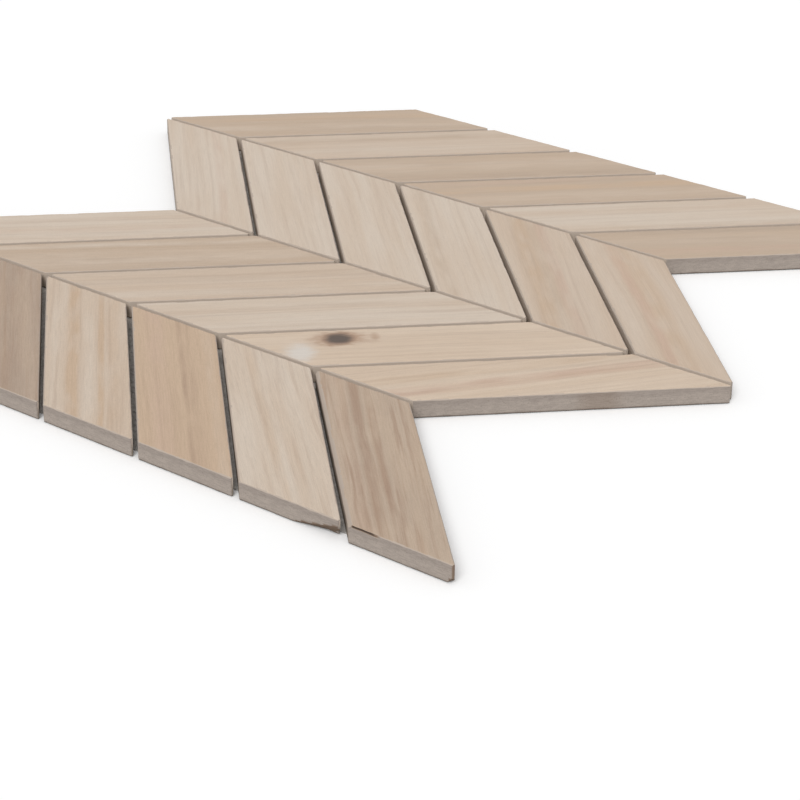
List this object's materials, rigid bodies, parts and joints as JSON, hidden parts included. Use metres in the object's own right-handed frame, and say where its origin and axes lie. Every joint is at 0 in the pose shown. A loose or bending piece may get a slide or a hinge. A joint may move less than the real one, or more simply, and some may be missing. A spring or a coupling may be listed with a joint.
{
  "type": "chevron mosaic tile sheet",
  "caption": "Chevron mosaic sheet of slanted wood-look porcelain chips with open joints, held flat on a backing net, for bedding on a wall or floor.",
  "frame": {"origin": "middle of the sheet, on the surface that its net lies on", "axes": "+X across the columns from column 1, +Y along the columns from row 1, +Z from the net up to the printed face"},
  "size_m": [0.3692, 0.3908, 0.008],
  "materials": {
    "porcelain": "matte printed wood face, bare fired body on the cut sides and back",
    "net": "dull glass-fibre net stiffened with glue"
  },
  "bodies": {
    "root": {"net_strands_along": "net", "net_strands_across": "net", "chip_col1_row1": "porcelain", "chip_col1_row2": "porcelain", "chip_col1_row3": "porcelain", "chip_col1_row4": "porcelain", "chip_col1_row5": "porcelain", "chip_col1_row6": "porcelain", "chip_col2_row1": "porcelain", "chip_col2_row2": "porcelain", "chip_col2_row3": "porcelain", "chip_col2_row4": "porcelain", "chip_col2_row5": "porcelain", "chip_col2_row6": "porcelain", "chip_col3_row1": "porcelain", "chip_col3_row2": "porcelain", "chip_col3_row3": "porcelain", "chip_col3_row4": "porcelain", "chip_col3_row5": "porcelain", "chip_col3_row6": "porcelain", "chip_col4_row1": "porcelain", "chip_col4_row2": "porcelain", "chip_col4_row3": "porcelain", "chip_col4_row4": "porcelain", "chip_col4_row5": "porcelain", "chip_col4_row6": "porcelain"}
  },
  "joints": []
}
